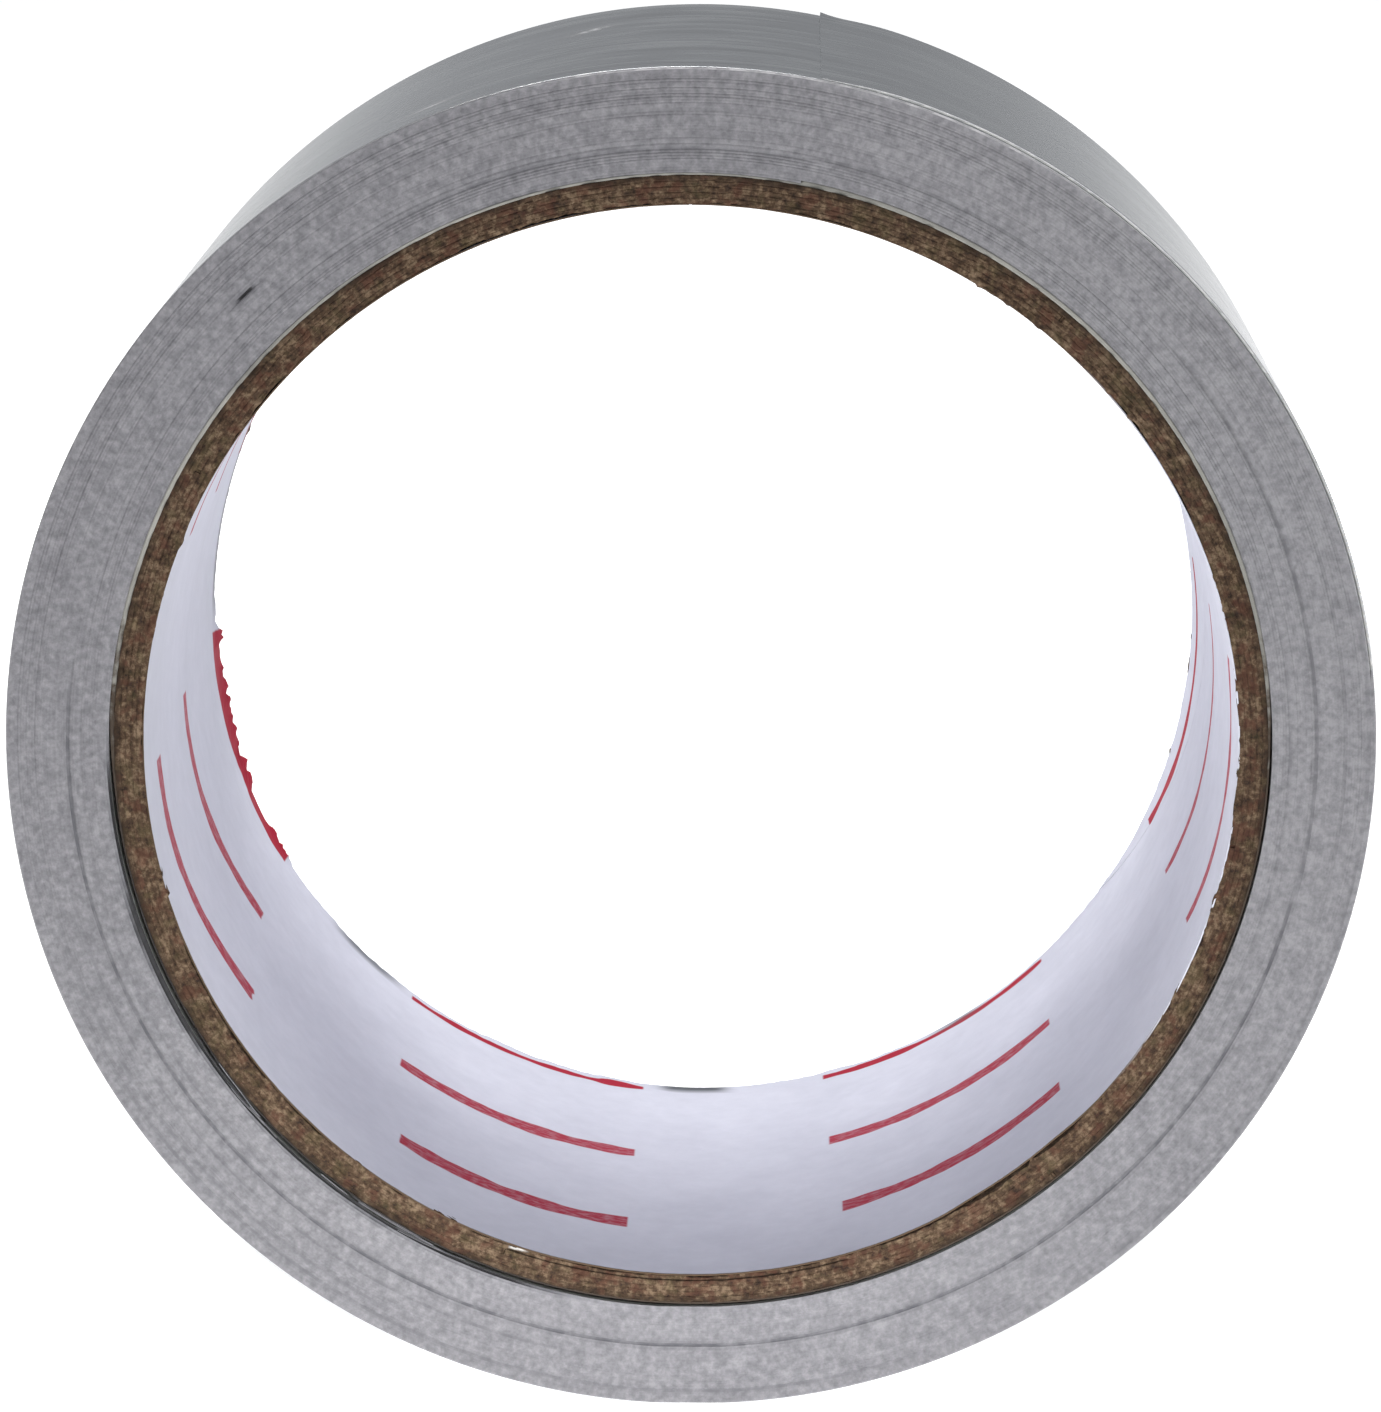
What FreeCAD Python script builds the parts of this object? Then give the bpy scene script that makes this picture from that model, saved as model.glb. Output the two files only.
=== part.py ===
import FreeCAD, Part
import Sketcher
import math
import os

# A roll of duct tape on a paperboard core, standing on its rim. Millimetres.
#
# Frame: the origin is the centre of the bore, half way along it. +Y runs along the bore, from the
# front end at -tape_width / 2 to the back end. +Z is up and +X is to the right, seen from the front.
# Angles round the roll are clock angles: from the top, clockwise as seen from the front.
#
# The core is a stack of paper strips, each wound as a helix and butted edge to edge along one seam:
# a printed liner inside, kraft plies, and a thin pale wrap outside. The tape is one long strip of
# three layers (glue, cloth and film), wound into a spiral of half turns. Each half turn is half a lap
# larger than the one before, about the other of two centres, so the laps touch all the way round.
# The pack has come a little loose from the core, so it sits off the bore's axis by its slack, and a
# thin crescent stays open between the two. Where the roll rests on its rim, the laps are pressed flat.
# The last stretch of the top lap is the free end that a hand peels. It is cut across into segments,
# each hinged on the one before along its outer surface, so it can lift off the roll as a curl.

SIZES = [
    ("tape_width", 48.0),
    ("bore_radius", 38.0),
    ("liner_thickness", 0.10),
    ("ply_thickness", 0.39),
    ("wrap_thickness", 0.12),
    ("seam_lead", 138.0),
    ("seam_gap", 0.15),
    ("glue_thickness", 0.07),
    ("cloth_thickness", 0.05),
    ("film_thickness", 0.08),
    ("half_turns", 72),
    ("pack_slack", 0.15),
    ("pack_slack_clock", 222.0),
    ("free_end_clock", 10.9),
    ("rest_clock", 180.0),
    ("rest_flat_turn", 5.4),
    ("tail_segment_turn", 18.0),
    ("tail_clearance", 0.03),
]
PLY_COUNT = 5
TAIL_COUNT = 4
SEAM_STAGGER = 100.0   # clock angle between the seams of neighbouring strips of the core
SEAM_OVERRUN = 0.05    # how far a seam's cutter reaches past a ply's two faces
TEXT_NUMBER = "{:g}"


def make_sheet(doc):
    sheet = doc.addObject("Spreadsheet::Sheet", "Dimensions")
    for row, (alias, value) in enumerate(SIZES, start=1):
        sheet.set("A{}".format(row), alias)
        sheet.set("B{}".format(row), TEXT_NUMBER.format(value))
        sheet.setAlias("B{}".format(row), alias)
    doc.recompute()
    return sheet


def cell(alias):
    return "Dimensions." + alias


def origin_plane(body, role):
    return next(f for f in body.Origin.OriginFeatures if f.Role == role)


def add_rectangle(sketch, left, right, bottom, top):
    """A rectangle in the sketch, from four expressions that give its sides' coordinates."""
    corners = [FreeCAD.Vector(x, y, 0) for x, y in ((1, -1), (2, -1), (2, 1), (1, 1))]
    for n in range(4):
        sketch.addGeometry(Part.LineSegment(corners[n], corners[(n + 1) % 4]), False)
    constraint = Sketcher.Constraint
    for n in range(4):
        sketch.addConstraint(constraint("Coincident", n, 2, (n + 1) % 4, 1))
    for n, kind in enumerate(("Horizontal", "Vertical", "Horizontal", "Vertical")):
        sketch.addConstraint(constraint(kind, n))
    sides = (
        ("DistanceX", 0, 1, 1.0, left),
        ("DistanceX", 0, 2, 2.0, right),
        ("DistanceY", 0, 1, -1.0, bottom),
        ("DistanceY", 2, 1, 1.0, top),
    )
    for kind, edge, end, first_guess, expression in sides:
        number = sketch.addConstraint(constraint(kind, -1, 1, edge, end, first_guess))
        sketch.setExpression("Constraints[{}]".format(number), expression)


def ring_body(doc, label, inner, outer, turn):
    """A strip lying on a cylinder about Y, from the expressions of its two radii and its turn."""
    body = doc.addObject("PartDesign::Body", label)
    body.Label = label
    section = body.newObject("Sketcher::SketchObject", label + "_section")
    section.AttachmentSupport = [(origin_plane(body, "XY_Plane"), "")]
    section.MapMode = "FlatFace"
    half_width = cell("tape_width") + " / 2"
    add_rectangle(section, inner, outer, "-" + half_width, half_width)
    ring = body.newObject("PartDesign::Revolution", label + "_ring")
    ring.Profile = section
    ring.ReferenceAxis = (section, ["V_Axis"])
    ring.setExpression("Angle", turn)
    body.Tip = ring
    return body


def turned_to(clock, centre):
    """The placement that carries +X, the three o'clock direction, to a clock angle about a centre."""
    return FreeCAD.Placement(centre, FreeCAD.Rotation(FreeCAD.Vector(0, 1, 0), clock - 90.0))


def cut_seam(doc, body, inner, outer):
    """The helical gap between the two edges of a wound paper strip."""
    label = body.Label
    section = body.newObject("Sketcher::SketchObject", label + "_seam_section")
    section.AttachmentSupport = [(origin_plane(body, "XY_Plane"), "")]
    section.MapMode = "FlatFace"
    start = "-({} / 2 + {})".format(cell("tape_width"), cell("seam_gap"))
    add_rectangle(
        section,
        "{} - {}".format(inner, SEAM_OVERRUN),
        "{} + {}".format(outer, SEAM_OVERRUN),
        "{} - {} / 2".format(start, cell("seam_gap")),
        "{} + {} / 2".format(start, cell("seam_gap")),
    )
    seam = body.newObject("PartDesign::SubtractiveHelix", label + "_seam")
    seam.Profile = section
    seam.ReferenceAxis = (section, ["V_Axis"])
    seam.Mode = "pitch-height-angle"
    seam.setExpression("Pitch", cell("seam_lead"))
    seam.setExpression("Height", "{} + 2 * {}".format(cell("tape_width"), cell("seam_gap")))
    body.Tip = seam
    doc.recompute()


def make_core(doc):
    """The liner, the kraft plies and the wrap, from the bore outwards."""
    strips = [("core_liner", "liner_thickness")]
    strips += [("core_ply_{}".format(n), "ply_thickness") for n in range(1, PLY_COUNT + 1)]
    strips += [("core_wrap", "wrap_thickness")]
    bodies = []
    inner = cell("bore_radius")
    for number, (label, thickness) in enumerate(strips):
        outer = "{} + {}".format(inner, cell(thickness))
        body = ring_body(doc, label, inner, outer, "360")
        doc.recompute()
        whole = body.Shape.Volume
        cut_seam(doc, body, inner, outer)
        if not body.Shape.Volume < whole:
            raise RuntimeError(label + ": the seam cut nothing")
        body.Placement = turned_to(number * SEAM_STAGGER, FreeCAD.Vector())
        bodies.append(body)
        inner = outer
    return bodies


def lap_thickness(sheet):
    return sheet.glue_thickness + sheet.cloth_thickness + sheet.film_thickness


def clock_point(centre, radius, clock, y=0.0):
    angle = math.radians(clock)
    return FreeCAD.Vector(
        centre.x + radius * math.sin(angle), y, centre.z + radius * math.cos(angle)
    )


def half_turn(sheet, number):
    """One half turn of the strip's underside: its centre, its radius and the clock it starts at."""
    lap = lap_thickness(sheet)
    inner_end_clock = sheet.free_end_clock + 180.0 * sheet.half_turns
    centre = clock_point(FreeCAD.Vector(), sheet.pack_slack, sheet.pack_slack_clock)
    if number % 2:
        centre = clock_point(centre, lap / 2, inner_end_clock)
    plies = PLY_COUNT * sheet.ply_thickness
    core = sheet.bore_radius + sheet.liner_thickness + plies + sheet.wrap_thickness
    radius = core + sheet.pack_slack + number * lap / 2
    return centre, radius, inner_end_clock - 180.0 * number


def arc(centre, radius, clocks, y):
    """The arc from the first of two clock angles to the second."""
    stops = (clocks[0], sum(clocks) / 2, clocks[1])
    return Part.Arc(*[clock_point(centre, radius, c, y) for c in stops]).toShape()


def chord(centre, radius, clocks, y):
    return Part.makeLine(*[clock_point(centre, radius, c, y) for c in clocks])


def wound_edges(sheet, height):
    """The spiral line that lies this far above the strip's underside: one arc a half turn, and a
    chord across each arc of the right half, whose first few degrees reach under the roll."""
    edges = []
    last = int(sheet.half_turns) - 1
    front = -sheet.tape_width / 2
    for number in range(last + 1):
        centre, radius, clock = half_turn(sheet, number)
        line = radius + height
        end = clock - 180.0
        if number == last:
            end += TAIL_COUNT * sheet.tail_segment_turn
        if number % 2:
            rest = clock - (sheet.free_end_clock + 180.0 - sheet.rest_clock)
            flat = (rest + sheet.rest_flat_turn / 2, rest - sheet.rest_flat_turn / 2)
            edges.append(arc(centre, line, (clock, flat[0]), front))
            edges.append(chord(centre, line, flat, front))
            clock = flat[1]
        edges.append(arc(centre, line, (clock, end), front))
    return edges


def wound_layer(doc, sheet, label, bottom, thickness):
    """One layer of the wound strip, as a spiral band pushed along the roll's width."""
    under = wound_edges(sheet, bottom)
    over = wound_edges(sheet, bottom + thickness)
    inner_end = Part.makeLine(under[0].Vertexes[0].Point, over[0].Vertexes[0].Point)
    outer_end = Part.makeLine(under[-1].Vertexes[-1].Point, over[-1].Vertexes[-1].Point)
    outline = Part.Wire(Part.__sortEdges__(under + [outer_end] + over + [inner_end]))
    layer = doc.addObject("Part::Feature", label)
    layer.Label = label
    layer.Shape = Part.Face(outline).extrude(FreeCAD.Vector(0, sheet.tape_width, 0))
    layer.Placement = FreeCAD.Placement()
    return layer


LAYERS = (
    ("adhesive", "glue_thickness"),
    ("scrim", "cloth_thickness"),
    ("backing", "film_thickness"),
)


def make_wound_tape(doc, sheet):
    layers = []
    bottom = 0.0
    for name, alias in LAYERS:
        thickness = getattr(sheet, alias)
        layers.append(wound_layer(doc, sheet, "tape_" + name, bottom, thickness))
        bottom += thickness
    return layers


def make_tail(doc, sheet):
    """The free end: segment 1 is hinged on the roll, and the last segment ends in the cut edge."""
    centre, radius, _ = half_turn(sheet, int(sheet.half_turns) - 1)
    bodies = []
    for segment in range(1, TAIL_COUNT + 1):
        inner = "{} + {}".format(radius, cell("tail_clearance"))
        clock = sheet.free_end_clock + (TAIL_COUNT - segment) * sheet.tail_segment_turn
        for name, alias in LAYERS:
            outer = "{} + {}".format(inner, cell(alias))
            label = "tail_{}_{}".format(segment, name)
            body = ring_body(doc, label, inner, outer, cell("tail_segment_turn"))
            body.Placement = turned_to(clock, centre)
            bodies.append(body)
            inner = outer
    return bodies


def check(doc, sub_parts):
    for thing in doc.Objects:
        if "Invalid" in thing.State or "Error" in thing.State:
            raise RuntimeError("{} failed: {}".format(thing.Label, thing.State))
    for sub_part in sub_parts:
        shape = sub_part.Shape
        if shape.isNull() or not shape.isValid() or not shape.Solids:
            raise RuntimeError(sub_part.Label + " has no valid solid")


def main():
    os.makedirs("parts", exist_ok=True)
    doc = FreeCAD.newDocument("DuctTapeRoll")
    sheet = make_sheet(doc)
    sub_parts = make_core(doc) + make_wound_tape(doc, sheet) + make_tail(doc, sheet)
    doc.recompute()
    check(doc, sub_parts)
    for sub_part in sub_parts:
        sub_part.Shape.exportStep(os.path.join("parts", sub_part.Label + ".step"))
        box = sub_part.Shape.BoundBox
        print(sub_part.Label, round(sub_part.Shape.Volume, 2), len(sub_part.Shape.Solids), box)


main()
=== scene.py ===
import math

import bpy
import numpy as np
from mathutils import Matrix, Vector


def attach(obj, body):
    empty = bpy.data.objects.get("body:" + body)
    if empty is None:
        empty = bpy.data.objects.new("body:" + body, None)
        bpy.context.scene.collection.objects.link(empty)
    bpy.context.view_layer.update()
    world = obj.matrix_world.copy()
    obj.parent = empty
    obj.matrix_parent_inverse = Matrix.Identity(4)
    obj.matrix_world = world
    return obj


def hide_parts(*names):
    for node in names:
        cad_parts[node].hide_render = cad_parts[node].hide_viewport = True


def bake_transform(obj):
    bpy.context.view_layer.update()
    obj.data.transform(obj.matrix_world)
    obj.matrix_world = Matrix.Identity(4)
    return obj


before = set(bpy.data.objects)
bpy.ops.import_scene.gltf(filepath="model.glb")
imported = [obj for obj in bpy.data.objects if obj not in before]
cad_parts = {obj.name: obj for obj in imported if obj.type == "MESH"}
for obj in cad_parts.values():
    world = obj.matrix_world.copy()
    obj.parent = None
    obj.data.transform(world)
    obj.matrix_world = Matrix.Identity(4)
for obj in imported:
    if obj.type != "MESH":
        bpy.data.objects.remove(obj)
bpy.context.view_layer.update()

# A roll of duct tape. Lengths are in millimetres and angles in degrees; the materials' Object
# coordinates, the lights and the camera are in metres. Clock angles run round the roll from the top,
# clockwise as seen from the front. The front end of the roll faces -Y.
MM = 0.001
HALF_WIDTH = 24.0
BORE = 38.0
LINER = 0.10
PLY = 0.39
WRAP = 0.12
GLUE, CLOTH, FILM = 0.07, 0.05, 0.08
LAP = GLUE + CLOTH + FILM
PLIES = 5
CORE = BORE + LINER + PLIES * PLY + WRAP
SLACK, SLACK_CLOCK = 0.15, 222.0
FREE_END = 10.9
HALF_TURNS = 72
TAIL_PARTS = 4
TAIL_TURN = 18.0
TAIL_GAP = 0.03
REST_CLOCK, REST_HALF = 180.0, 2.7
SEAM_LEAD = 138.0
SEAM_STAGGER = 100.0
SEAM_GAP = 0.15
PITCH = LAP / 2
HINGE_CLOCK = FREE_END + TAIL_PARTS * TAIL_TURN

WARP_PITCH, WEFT_PITCH = 0.95, 1.45
LAY_RADIUS = 44.0       # the radius at which lengths along the outermost lap are measured
FRONT_SEED, BACK_SEED = 11, 23


def polar(clock, radius):
    """x and z of a point at this clock angle and radius."""
    angle = np.radians(clock)
    return np.stack([radius * np.sin(angle), radius * np.cos(angle)], -1)


EVEN_CENTRE = polar(SLACK_CLOCK, SLACK)
ODD_CENTRE = EVEN_CENTRE + polar(FREE_END, PITCH)


def wave(x, seed, period, octaves=4, rough=0.6):
    """Smooth seeded noise about 0 that repeats every period, from sines of growing pitch."""
    rng = np.random.default_rng(seed)
    total = np.zeros_like(np.asarray(x, float))
    size = 1.0
    power = 0.0
    for octave in range(octaves):
        for _ in range(3):
            pitch = rng.integers(2 ** octave, 2 ** (octave + 1) + 1)
            total = total + size * np.sin(2 * np.pi * (pitch * x / period + rng.random()))
            power += size * size / 2
        size *= rough
    return total / math.sqrt(power)


def turn_from(clock, middle):
    """The signed angle from middle to a clock angle, the short way round."""
    return (clock - middle + 180.0) % 360.0 - 180.0


def window(clock, middle, reach, fade):
    """1 within reach of a clock angle, easing down to 0 at its two ends over fade."""
    share = np.clip((reach - np.abs(turn_from(clock, middle))) / fade, 0.0, 1.0)
    return share * share * (3.0 - 2.0 * share)


def windows(clock, rows):
    """The sum of windows, one a row: clock at the middle, half the reach, fade and height."""
    return sum(height * window(clock, middle, reach, fade) for middle, reach, fade, height in rows)


GRAIN_WAVES = 24


def grain(clock, radius, seed):
    """Smooth seeded roughness about 0 over a cut end of the core, from crossed waves."""
    rng = np.random.default_rng(seed)
    total = np.zeros_like(clock)
    for _ in range(GRAIN_WAVES):
        around = rng.integers(25, 190)
        outward = rng.uniform(-14.0, 14.0)
        total += np.sin(np.radians(clock) * around + outward * radius + 2 * np.pi * rng.random())
    return total / math.sqrt(GRAIN_WAVES / 2)


# ---------------------------------------------------------------- meshes


class Shell:
    """Gathers patches of quads, each with its own vertices, into one mesh."""

    def __init__(self):
        self.points, self.lays, self.marks, self.faces = [], [], [], []
        self.count = 0

    def patch(self, points, lay, mark=0.0, flip=False):
        """A grid of points (rows, columns, 3). lay is what the materials measure along, across and
        outwards, and mark is how much of a stain or of wear they show, above or below 0."""
        rows, cols = points.shape[:2]
        index = np.arange(rows * cols).reshape(rows, cols) + self.count
        quads = np.stack([index[:-1, :-1], index[:-1, 1:], index[1:, 1:], index[1:, :-1]], -1)
        quads = quads.reshape(-1, 4)
        if flip:
            quads = quads[:, ::-1]
        self.points.append(points.reshape(-1, 3))
        self.lays.append(np.broadcast_to(lay, points.shape).reshape(-1, 3))
        self.marks.append(np.broadcast_to(mark, (rows, cols)).reshape(-1))
        self.faces.append(quads)
        self.count += rows * cols

    def build(self, name, material):
        mesh = bpy.data.meshes.new(name)
        points = np.concatenate(self.points) * MM
        faces = np.concatenate(self.faces)
        mesh.vertices.add(len(points))
        mesh.vertices.foreach_set("co", points.astype(np.float32).ravel())
        mesh.loops.add(faces.size)
        mesh.loops.foreach_set("vertex_index", faces.astype(np.int32).ravel())
        mesh.polygons.add(len(faces))
        mesh.polygons.foreach_set("loop_start", np.arange(0, faces.size, 4, dtype=np.int32))
        mesh.update(calc_edges=True)
        mesh.shade_smooth()
        lay = mesh.attributes.new("lay", "FLOAT_VECTOR", "POINT")
        lay.data.foreach_set("vector", np.concatenate(self.lays).astype(np.float32).ravel())
        mark = mesh.attributes.new("mark", "FLOAT", "POINT")
        mark.data.foreach_set("value", np.concatenate(self.marks).astype(np.float32))
        mesh.materials.append(material)
        piece = bpy.data.objects.new(name, mesh)
        bpy.context.scene.collection.objects.link(piece)
        return piece


def three(xz, y):
    """Points (..., 3) from (..., 2) of x and z, and y."""
    y = np.broadcast_to(y, xz.shape[:-1])
    return np.stack([xz[..., 0], y, xz[..., 1]], -1)


# ---------------------------------------------------------------- materials


class Graph:
    """The nodes of a material or of the world, and the few kinds of node that this scene needs."""

    def __init__(self, owner):
        owner.use_nodes = True
        self.owner = owner
        self.nodes = owner.node_tree.nodes
        self.links = owner.node_tree.links

    def put(self, socket, value):
        if isinstance(value, bpy.types.NodeSocket):
            self.links.new(value, socket)
        elif isinstance(value, tuple) and len(value) == 3 and socket.type == "RGBA":
            socket.default_value = (*value, 1.0)
        else:
            socket.default_value = value

    def node(self, kind, inputs=(), **settings):
        made = self.nodes.new(kind)
        for key, value in settings.items():
            setattr(made, key, value)
        for key, value in dict(inputs).items():
            self.put(made.inputs[key], value)
        return made

    def math(self, operation, a, b=0.0):
        return self.node("ShaderNodeMath", {0: a, 1: b}, operation=operation).outputs[0]

    def total(self, *terms):
        """The sum of values, each given with its weight."""
        total = None
        for value, weight in terms:
            part = value if weight == 1.0 else self.math("MULTIPLY", value, weight)
            total = part if total is None else self.math("ADD", total, part)
        return total

    def split(self, vector):
        return self.node("ShaderNodeSeparateXYZ", {0: vector}).outputs

    def lay(self):
        """Where a point lies on its own strip: the vector, and then its three numbers."""
        vector = self.node("ShaderNodeAttribute", attribute_name="lay").outputs["Vector"]
        return vector, *self.split(vector)

    def mark(self):
        return self.node("ShaderNodeAttribute", attribute_name="mark").outputs["Fac"]

    def place(self):
        return self.node("ShaderNodeTexCoord").outputs["Object"]

    def noise(self, place, scale, detail=3.0, rough=0.55):
        """Noise of one scale, or of three that stretch it along the place's axes."""
        if isinstance(scale, tuple):
            stretched = self.node("ShaderNodeVectorMath", {0: place, 1: scale}, operation="MULTIPLY")
            place, scale = stretched.outputs[0], 1.0
        ins = {"Vector": place, "Scale": scale, "Detail": detail, "Roughness": rough}
        return self.node("ShaderNodeTexNoise", ins).outputs["Fac"]

    def range(self, value, low, high, to_low=0.0, to_high=1.0, smooth=True):
        kind = "SMOOTHSTEP" if smooth else "LINEAR"
        ins = {0: value, 1: low, 2: high, 3: to_low, 4: to_high}
        return self.node("ShaderNodeMapRange", ins, interpolation_type=kind).outputs[0]

    def toward(self, mark, full):
        """How far the mark has gone from 0 towards its full value."""
        return self.range(mark, 0.0, full, smooth=False)

    def ramp(self, value, *stops):
        made = self.node("ShaderNodeValToRGB", {0: value})
        elements = made.color_ramp.elements
        while len(elements) < len(stops):
            elements.new(0.5)
        for element, (place, colour) in zip(elements, stops):
            element.position = place
            element.color = (*colour, 1.0)
        return made.outputs[0]

    def mix(self, factor, a, b):
        """The colour a where the factor is 0, and b where it is 1."""
        made = self.node("ShaderNodeMix", data_type="RGBA")
        for socket, value in ((0, factor), (6, a), (7, b)):
            self.put(made.inputs[socket], value)
        return made.outputs[2]

    def away(self, value, centre):
        return self.math("ABSOLUTE", self.math("SUBTRACT", value, centre))

    def band(self, value, centre, half, soft):
        """1 within half of the centre, falling to 0 over soft."""
        return self.range(self.away(value, centre), half, half + soft, 1.0, 0.0)

    def threads(self, value, pitch):
        """A wave between -1 and 1 across threads that lie a pitch apart."""
        return self.math("SINE", self.math("MULTIPLY", value, 2 * math.pi / pitch))

    def bump(self, height, distance, strength):
        ins = {"Height": height, "Distance": distance, "Strength": strength}
        return self.node("ShaderNodeBump", ins).outputs[0]

    def finish(self, shader="Principled BSDF", **sockets):
        for key, value in sockets.items():
            self.put(self.nodes[shader].inputs[key.replace("_", " ")], value)
        return self.owner


def film_material():
    """Silver polyethylene film: drawn streaks along the tape, the cloth's threads showing through,
    and pale, dull scuffs along its edges and where it is marked."""
    g = Graph(bpy.data.materials.new("silver_film"))
    lay, along, across, _ = g.lay()
    streaks = g.noise(lay, (0.02, 1.1, 1.0), 4.0)
    blotches = g.noise(lay, (0.10, 0.16, 1.0), 4.0)
    fine = g.noise(lay, (1.3, 3.0, 1.0), 3.0)
    tone = g.total((streaks, 0.55), (blotches, 0.45))
    colour = g.ramp(
        tone,
        (0.32, (0.350, 0.371, 0.403)),
        (0.50, (0.467, 0.490, 0.523)),
        (0.68, (0.613, 0.635, 0.656)),
    )
    mark = g.mark()
    edge = g.range(g.math("ABSOLUTE", across), HALF_WIDTH - 0.28, HALF_WIDTH - 0.08)
    edge = g.math("MULTIPLY", edge, g.range(fine, 0.35, 0.60, 0.35, 0.85))
    colour = g.mix(g.math("MAXIMUM", edge, mark), colour, (0.72, 0.71, 0.72))
    weave = g.total((g.threads(across, WARP_PITCH), 0.6), (g.threads(along, WEFT_PITCH), 0.4))
    shine = g.range(tone, 0.3, 0.7, 0.20, 0.30)
    return g.finish(
        Base_Color=colour,
        Roughness=g.math("MAXIMUM", shine, g.math("MULTIPLY", mark, 0.75)),
        Metallic=0.7,
        Coat_Weight=0.7,
        Coat_Roughness=0.2,
        Normal=g.bump(g.total((weave, 0.06), (streaks, 1.0)), 0.02 * MM, 0.5),
    )


def edge_material():
    """The wound tape's side: the cut edges of film, cloth and glue, pressed together, painted a little
    lighter towards the upper right as painted light. A mark up to 1 darkens it as painted shade, a mark
    of nearly 2 is black as the painted shade of a gap, and a mark below 0 is a pale rim: partly wear,
    and along the top of the roll a painted highlight."""
    g = Graph(bpy.data.materials.new("tape_edges"))
    lay, *_ = g.lay()
    place = g.place()
    x, _, z = g.split(place)
    speckle = g.noise(place, 2100.0, 4.0, 0.65)
    cloudy = g.noise(place, 800.0, 3.0)
    rings = g.noise(lay, (0.012, 0.0, 1.1), 4.0, 0.7)
    # Painted light: the side is made lighter towards the upper right, where more light falls on it.
    painted_light_right = g.range(g.total((x, 1.0), (z, 0.5)), 18.0 * MM, 42.0 * MM, 0.0, 0.045)
    tone = g.total((speckle, 0.68), (rings, 0.14), (cloudy, 0.18), (painted_light_right, 1.0))
    colour = g.ramp(
        tone,
        (0.36, (0.138, 0.135, 0.149)),
        (0.50, (0.206, 0.202, 0.217)),
        (0.64, (0.288, 0.284, 0.299)),
    )
    mark = g.mark()
    dark = g.math("MULTIPLY", g.toward(mark, 1.0), g.range(cloudy, 0.35, 0.6, 1.0, 0.45))
    colour = g.mix(dark, colour, (0.095, 0.095, 0.107))
    colour = g.mix(g.range(mark, 1.1, 1.9), colour, (0.014, 0.013, 0.015))
    # A pale rim: partly wear, and along the top of the roll a painted highlight.
    wear_and_painted_light = g.math("MULTIPLY", g.toward(mark, -1.0), g.range(cloudy, 0.35, 0.6, 1.0, 0.35))
    colour = g.mix(wear_and_painted_light, colour, (0.70, 0.69, 0.70))
    return g.finish(
        Base_Color=colour,
        Roughness=g.range(speckle, 0.3, 0.7, 0.55, 0.75),
        Normal=g.bump(g.total((speckle, 1.0), (rings, 0.35)), 0.06 * MM, 0.6),
    )


def cloth_material():
    """The loose woven scrim: pale threads both ways, dark gaps between."""
    g = Graph(bpy.data.materials.new("cloth"))
    lay, along, across, _ = g.lay()
    shift = g.math("MULTIPLY", g.noise(lay, (0.25, 0.25, 1.0), 2.0), 0.5)
    warp = g.threads(g.math("ADD", across, shift), WARP_PITCH)
    weft = g.threads(g.math("ADD", along, shift), WEFT_PITCH)
    thread = g.math("MAXIMUM", g.range(warp, 0.0, 0.7), g.range(weft, 0.35, 0.9))
    fibre = g.noise(lay, (6.0, 6.0, 1.0), 3.0)
    colour = g.mix(thread, (0.26, 0.27, 0.27), (0.62, 0.62, 0.60))
    colour = g.mix(g.range(fibre, 0.3, 0.7, 0.0, 0.35), colour, (0.42, 0.42, 0.42))
    return g.finish(
        Base_Color=colour,
        Roughness=g.range(fibre, 0.3, 0.7, 0.75, 0.92),
        Normal=g.bump(g.total((thread, 1.0), (fibre, 0.4)), 0.05 * MM, 0.9),
    )


def glue_material():
    """Grey natural rubber glue, tacky and a little shiny, with the weave pressed into it."""
    g = Graph(bpy.data.materials.new("adhesive"))
    lay, along, across, _ = g.lay()
    smear = g.noise(lay, (0.35, 0.7, 1.0), 5.0)
    pits = g.noise(lay, (3.5, 3.5, 1.0), 3.0)
    warp = g.range(g.threads(across, WARP_PITCH), 0.2, 0.9)
    weft = g.range(g.threads(along, WEFT_PITCH), 0.4, 0.95)
    weave = g.math("MAXIMUM", warp, weft)
    colour = g.ramp(smear, (0.3, (0.29, 0.30, 0.30)), (0.7, (0.43, 0.44, 0.43)))
    colour = g.mix(g.math("MULTIPLY", weave, 0.35), colour, (0.55, 0.55, 0.53))
    return g.finish(
        Base_Color=colour,
        Roughness=g.range(smear, 0.3, 0.7, 0.30, 0.50),
        Normal=g.bump(g.total((weave, 0.7), (pits, 1.0)), 0.05 * MM, 0.9),
    )


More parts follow.
